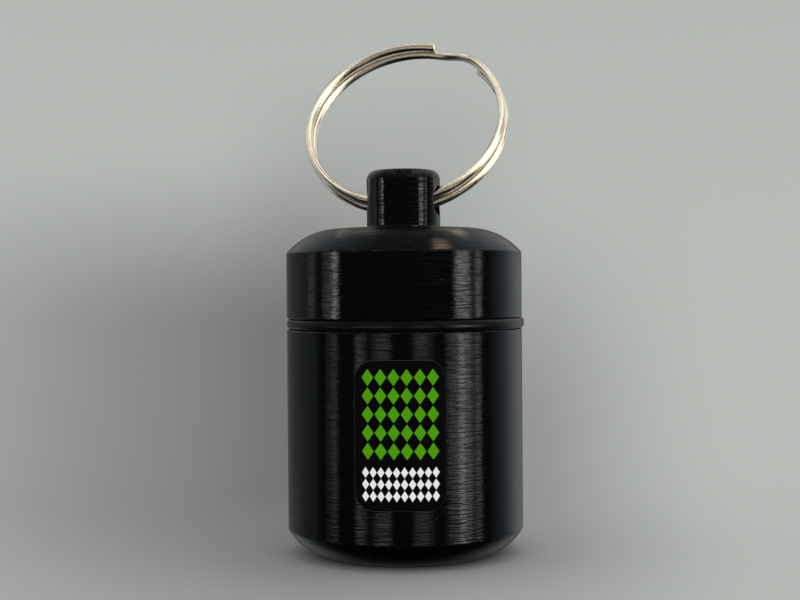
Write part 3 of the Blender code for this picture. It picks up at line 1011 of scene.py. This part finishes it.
# %% Cove
COVE_RADIUS = 0.62
COVE_BEND = 0.57
COVE_HEIGHT = 0.9
PAPER = (0.50, 0.51, 0.50, 1.0)
SHADE_DISTANCE, SHADE_HEIGHT = 0.2, 0.03
LEFT_SHADE, LEFT_TOP = (-0.48, -0.06, 0.0, 0.6), (-0.03, 0.11, 1.0, 0.0)
RIGHT_SHADE, RIGHT_TOP = (0.06, 0.21, 0.36, 0.0), (-0.09, 0.09, 1.0, 0.0)
LEFT_CLOSE, RIGHT_CLOSE = (-0.14, -0.07, 0.0, 0.06), (0.08, 0.14, 0.06, 0.0)
BEHIND_CASE = (0.0, 0.06)
MIDDLE = (-0.08, 0.08)
FRONT_END_OF_SHADE, FLOOR_SHADE = (-0.14, -0.06), (-0.185, -0.12, 0.5, 1.0)
RING_LEFT, RING_RIGHT = (-0.14, -0.05, 0.0, 0.12), (0.02, 0.11, 1.0, 0.0)
RING_FOOT, RING_TOP = (-0.01, 0.07), (0.09, 0.16, 1.0, 0.0)

cove_path = np.vstack([
    [(0.0, 0.0), (0.025, 0.0)],
    arc((COVE_RADIUS - COVE_BEND, COVE_BEND), COVE_BEND, -90.0, 0.0, 48),
    [(COVE_RADIUS, COVE_HEIGHT)],
])
points, _, quads, triangles = weld([(turn(cove_path), np.zeros((1, 1)))])
cove = smooth_object("cove", points, quads[:, ::-1], triangles[:, ::-1])
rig.stage(cove)
cove.visible_glossy = False
cove.visible_diffuse = False
cove.visible_shadow = False


def pale_paper():
    """Matt paper with the painted shade."""
    material, tree, shader = new_finish("pale_cove")
    x, y, z = split(object_place(tree))
    away = plus(y, SHADE_DISTANCE)
    aside = calculate("DIVIDE", x, away)
    above = calculate("DIVIDE", plus(z, -SHADE_HEIGHT), away)
    behind_case = spread(y, *BEHIND_CASE)
    left_close = times(spread(aside, *LEFT_CLOSE), behind_case)
    left = plus(spread(aside, *LEFT_SHADE), left_close)
    left = times(left, spread(aside, *MIDDLE, 1.0, 0.0), spread(above, *LEFT_TOP))
    right_close = times(spread(aside, *RIGHT_CLOSE), behind_case)
    right = plus(spread(aside, *RIGHT_SHADE), right_close)
    right = times(right, spread(aside, *MIDDLE), spread(above, *RIGHT_TOP))
    shade = times(plus(left, right), spread(y, *FRONT_END_OF_SHADE))
    shade = times(shade, spread(above, *FLOOR_SHADE))
    ring_shade = times(spread(aside, *RING_LEFT), spread(aside, *RING_RIGHT))
    ring_shade = times(ring_shade, spread(above, *RING_FOOT), spread(above, *RING_TOP))
    paper = mix_colour(plus(shade, ring_shade), PAPER, (0.0, 0.0, 0.0, 1.0))
    tree.links.new(paper, shader.inputs["Base Color"])
    shader.inputs["Roughness"].default_value = 0.9
    shader.inputs["Specular IOR Level"].default_value = 0.2
    return material


cove.data.materials.append(pale_paper())
print("cove:", len(quads) + len(triangles), "faces")

# %% [markdown]
# Shiny black shows only what it reflects. The lathe lines draw each short lamp out into one upright
# strip, so a list of bearings and strengths sets the strips. Tall lamps would need no lines for that,
# but their strips would lack the hatch. Light linking gives the cap, the cup and the ring lamps of
# their own: the ring's are larger and warmer, because nickel mirrors the whole room.

# %% Lamps
LAMP_DISTANCE = 0.42
RING_LAMP_DISTANCE = 0.5
RING_MIDDLE = np.array([0.0, 0.006, 0.051])
CAP_LAMP_HEIGHTS, CAP_LAMP_POWER = (0.0, 0.06), 2.9
CUP_LAMP_HEIGHTS, CUP_LAMP_POWER = (-0.045, 0.015), 2.7
WHITE = (1.0, 1.0, 1.0)
CREAM = (1.0, 0.96, 0.86)
ROSE = (1.0, 0.90, 0.82)
LAMPLIGHT = (1.0, 0.72, 0.5)
# Bearing of the start and of the end in degrees from the front, and strength
CAP_STRIPS = (
    (-104, -95, 0.12), (-83.5, -77.5, 0.24), (-77.5, -71.5, 0.38), (-71.5, -65.5, 1.5), (49, 55, 1.35),
    (55, 61, 1.6), (61, 64.5, 1.15), (64.5, 71, 0.1), (71, 77.5, 0.78),
)
CUP_STRIPS = (
    (-80, -73, 0.12), (-73, -67, 0.31), (-47, -41.5, 0.5), (-41.5, -36.5, 0.26), (-31, -26, 0.2),
    (-26, -14, 0.42), (8, 14, 0.34), (14, 21, 0.43), (21, 26, 0.18), (40, 46, 0.42), (46, 52, 0.62),
    (52, 58, 2), (58, 65, 0.95), (65, 70.5, 0.25), (70.5, 76.5, 0.55),
)
# Bearing, rise, width and height in degrees, strength, and colour unless it is cream
RING_PANELS = (
    (8, 58, 25, 16, 1.9), (30, 35, 40, 30, 1.9), (60, 10, 50, 35, 1.9), (95, -10, 50, 30, 1.8),
    (-68, 54, 24, 20, 0.9), (-95, 33, 40, 26, 0.68), (10, 75, 60, 18, 1.2), (180, 72, 50, 14, 1.6),
    (85, 58, 80, 50, 0.7, ROSE), (132, 8, 50, 50, 0.5, ROSE), (-120, 5, 60, 50, 0.42, WHITE),
    (-135, 55, 60, 40, 0.4, WHITE), (0, -65, 90, 50, 0.3), (-20, 20, 90, 90, 0.25),
    (0, -35, 110, 50, 0.3),
)
# Place, target, size and strength
WARM_PANEL = ((0.14, 0.01, 0.43), (0.0, 0.0, 0.035), (0.10, 0.06), 3.2)


def lit_alone(name, *members):
    """A collection that a lamp can be linked to, so that it lights these pieces alone."""
    collection = bpy.data.collections.new(name)
    for member in members:
        collection.objects.link(member)
    return collection


cap_alone = lit_alone("cap_alone", cap)
cup_alone = lit_alone("cup_alone", cup, seal, label)
ring_alone = lit_alone("ring_alone", split_ring)


def add_lamp(name, place, target, size, radiance, receivers, colour=WHITE):
    """A rectangular lamp at a place that faces a target. A flat lamp of area A that looks as bright as
    a radiance L gives the power pi * A * L."""
    lamp = bpy.data.lights.new(name, "AREA")
    lamp.shape = "RECTANGLE"
    lamp.size, lamp.size_y = size
    lamp.energy = math.pi * size[0] * size[1] * radiance
    lamp.color = colour
    thing = bpy.data.objects.new(name, lamp)
    away = np.array(place) - np.array(target)
    away = away / np.linalg.norm(away)
    side = np.cross((0.0, 0.0, 1.0), away)
    side = side / np.linalg.norm(side)
    thing.matrix_world = placed([side, np.cross(away, side), away], place)
    thing.visible_camera = False
    thing.light_linking.receiver_collection = receivers
    scene.collection.objects.link(thing)


def add_strips(name, strips, receivers, heights, power):
    """Short lamps at one distance and between two heights, each of which fills the directions from one
    bearing to another, in degrees from the front."""
    low, high = heights
    level = (low + high) / 2.0
    for number, (start, end, radiance) in enumerate(strips):
        middle = math.radians((start + end) / 2.0)
        size = (math.radians(end - start) * LAMP_DISTANCE, high - low)
        place = (LAMP_DISTANCE * math.sin(middle), -LAMP_DISTANCE * math.cos(middle), level)
        add_lamp(f"{name}_{number}", place, (0.0, 0.0, level), size, power * radiance, receivers)


def add_panel(name, bearing, rise, width, height, radiance, colour=CREAM):
    """A lamp for the ring alone, at a bearing from the front and an angle above it, with the angles
    that it fills."""
    bearing, rise = math.radians(bearing), math.radians(rise)
    level = math.cos(rise)
    way = np.array([math.sin(bearing) * level, -math.cos(bearing) * level, math.sin(rise)])
    size = [2.0 * RING_LAMP_DISTANCE * math.tan(math.radians(angle) / 2.0) for angle in (width, height)]
    place = RING_MIDDLE + RING_LAMP_DISTANCE * way
    add_lamp(name, place, RING_MIDDLE, size, radiance, ring_alone, colour)


add_strips("cap_strip", CAP_STRIPS, cap_alone, CAP_LAMP_HEIGHTS, CAP_LAMP_POWER)
add_strips("cup_strip", CUP_STRIPS, cup_alone, CUP_LAMP_HEIGHTS, CUP_LAMP_POWER)
for number, panel in enumerate(RING_PANELS):
    add_panel(f"ring_panel_{number}", *panel)
add_lamp("warm_panel", *WARM_PANEL, cap_alone, LAMPLIGHT)
print("lamps:", sum(thing.type == "LIGHT" for thing in scene.objects))

# %% [markdown]
# The room gives the gradients near the outlines. What the gloss sees is darker than what lights the
# colours, as if black cloth stood in front of the case, and a Light Path node tells the two kinds of
# ray apart. Each ramp gives where a direction's number starts and ends, and how bright the room is
# there.

# %% Room light
FRONT_TINT, BACK_TINT = (0.79, 0.92, 1.0, 1.0), (0.97, 1.0, 0.95, 1.0)
SOFT_TINT = (0.98, 1.0, 0.97, 1.0)
LEVEL_FRONT_TO_BACK = (-0.05, 0.15, 0.015, 0.12)
RIGHT_OF_BACK = (0.1, 0.7, 0.0, 0.35)
LOW_SIDES = (0.15, 0.44, 0.05, 0.32)
HIGH_SIDES, HIGH_BACK, HIGH_RIGHT = (0.1, 0.45, 0.0, 0.2), (0.3, 0.8, 0.0, 0.12), (0.1, 0.5, 0.07, 0.18)
LOW_TO_LEVEL, LEVEL_TO_HIGH = (-0.35, -0.15), (0.1, 0.35)
BELOW_TO_ABOVE = (-0.5, 0.2, 0.3, 1.0)


def mix_number(share, first, second):
    """A number between two, by a share from 0 to 1."""
    pairs = [(0, share), (2, first), (3, second)]
    return add_node(tree_of(share), "Mix", pairs, data_type="FLOAT").outputs[0]


def light_room():
    """A world whose brightness depends on the direction (x, y, z), with x to the right, y back and z
    up."""
    world = bpy.data.worlds.new("room")
    world.use_nodes = True
    tree = world.node_tree
    x, y, z = split(add_node(tree, "TexCoord").outputs["Generated"])
    sideways = calculate("ABSOLUTE", x)
    behind_right = times(spread(y, *RIGHT_OF_BACK), spread(x, 0.1, 0.8))
    level = plus(spread(y, *LEVEL_FRONT_TO_BACK), behind_right)
    low = times(spread(sideways, *LOW_SIDES), spread(y, 0.3, 0.8))
    high_sides = times(spread(sideways, *HIGH_SIDES), spread(y, -0.1, 0.4))
    high_back = times(spread(y, *HIGH_BACK), spread(z, 0.5, 0.9, 1.0, 0.0))
    high = plus(high_sides, high_back, spread(x, *HIGH_RIGHT))
    in_gloss = mix_number(spread(z, *LOW_TO_LEVEL), low, level)
    in_gloss = mix_number(spread(z, *LEVEL_TO_HIGH), in_gloss, high)
    is_gloss = add_node(tree, "LightPath").outputs["Is Glossy Ray"]
    brightness = mix_number(is_gloss, spread(z, *BELOW_TO_ABOVE), in_gloss)
    tint = mix_colour(spread(y, 0.3, 1.0), FRONT_TINT, BACK_TINT)
    background = tree.nodes["Background"]
    tree.links.new(brightness, background.inputs["Strength"])
    tree.links.new(mix_colour(is_gloss, SOFT_TINT, tint), background.inputs["Color"])
    return world


scene.world = light_room()
scene.view_settings.view_transform = "Standard"
print("room:", len(scene.world.node_tree.nodes), "nodes")

# %% [markdown]
# ## Write down the size
#
# The dressed case is meant to fill the same box as the solids, so both boxes are written down before
# the last line.

# %% Size
json.dump({"cad": cad_box, "visual": [list(corner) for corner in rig.bounds()]}, open("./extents.json", "w"))
print(open("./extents.json").read())
